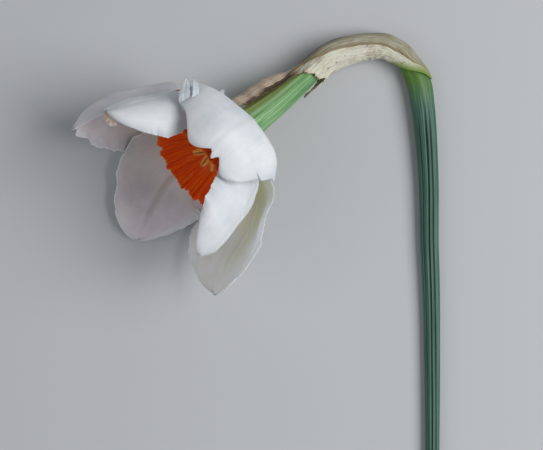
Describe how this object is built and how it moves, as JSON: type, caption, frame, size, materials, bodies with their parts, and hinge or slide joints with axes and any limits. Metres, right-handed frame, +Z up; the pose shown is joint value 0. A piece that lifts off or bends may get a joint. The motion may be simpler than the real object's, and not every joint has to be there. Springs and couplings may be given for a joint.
{
  "type": "narcissus flower",
  "caption": "Single cut narcissus lying on its side, with broad white petals, a short frilled orange cup, a papery sheath at the bent neck and a ribbed green stem.",
  "frame": {"origin": "on the ground plane, under the middle of the whole flower's bounding box", "axes": "+Z up from the surface that the flower lies on; +Y along the stem, from its cut end towards the bent neck; the cup faces between -X and -Y and a little up"},
  "size_m": [0.1011, 0.2079, 0.0476],
  "materials": {
    "petal_white": "soft satin petal skin, slightly translucent, with fine lengthwise veins",
    "cup_orange": "satin petal skin with fine ribs and a ruffled rim",
    "anther_gold": "matt, grainy with pollen",
    "filament_cream": "smooth, slightly moist",
    "tube_green": "satin, with pale lengthwise stripes",
    "pedicel_green": "smooth satin",
    "stem_green": "waxy bloom over blue-green, with darker grooves",
    "sheath_tan": "dry, papery and fibrous, brown at its torn edges"
  },
  "bodies": {
    "root": {"scape": "stem_green", "pedicel": "pedicel_green", "floral_tube": "tube_green", "spathe": "sheath_tan", "outer_tepal_1": "petal_white", "outer_tepal_2": "petal_white", "outer_tepal_3": "petal_white", "inner_tepal_1": "petal_white", "inner_tepal_2": "petal_white", "inner_tepal_3": "petal_white", "corona": "cup_orange", "style": "filament_cream", "filament_1": "filament_cream", "filament_2": "filament_cream", "filament_3": "filament_cream", "filament_4": "filament_cream", "filament_5": "filament_cream", "filament_6": "filament_cream", "anther_1": "anther_gold", "anther_2": "anther_gold", "anther_3": "anther_gold", "anther_4": "anther_gold", "anther_5": "anther_gold", "anther_6": "anther_gold"}
  },
  "joints": []
}
